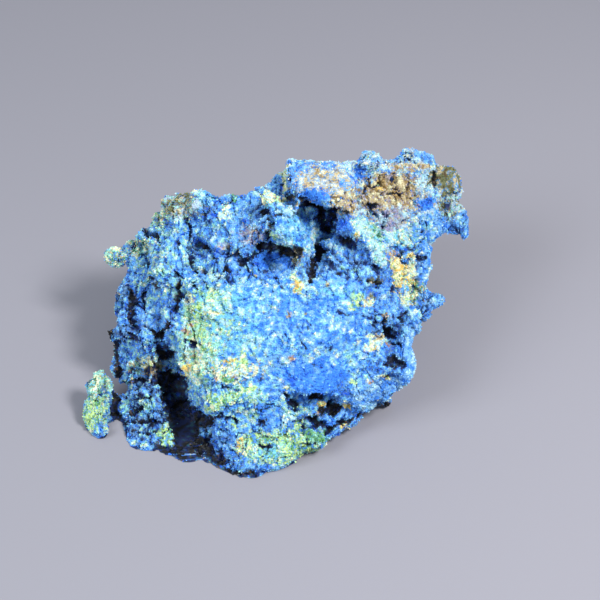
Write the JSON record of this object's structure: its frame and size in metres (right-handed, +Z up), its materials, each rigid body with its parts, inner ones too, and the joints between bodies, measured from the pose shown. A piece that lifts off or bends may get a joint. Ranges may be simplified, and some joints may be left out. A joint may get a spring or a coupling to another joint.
{
  "type": "azurite and malachite mineral specimen",
  "caption": "Rough crumbly lump of blue azurite and green malachite on tan matrix, with a broad leaning face, a hood over a small cavity, a deep cleft and small knobs.",
  "frame": {"origin": "middle of the bounding box's underside, on the surface that the rock rests on", "axes": "+Z up, +X to the right along the rock's length, -Y towards the viewer, so the broad leaning face looks along -Y and up"},
  "size_m": [0.0256, 0.0234, 0.0142],
  "materials": {
    "azurite_malachite": "rough, fine-grained crystalline crust, blue with green and tan areas"
  },
  "bodies": {
    "root": {"rock": "azurite_malachite"}
  },
  "joints": []
}
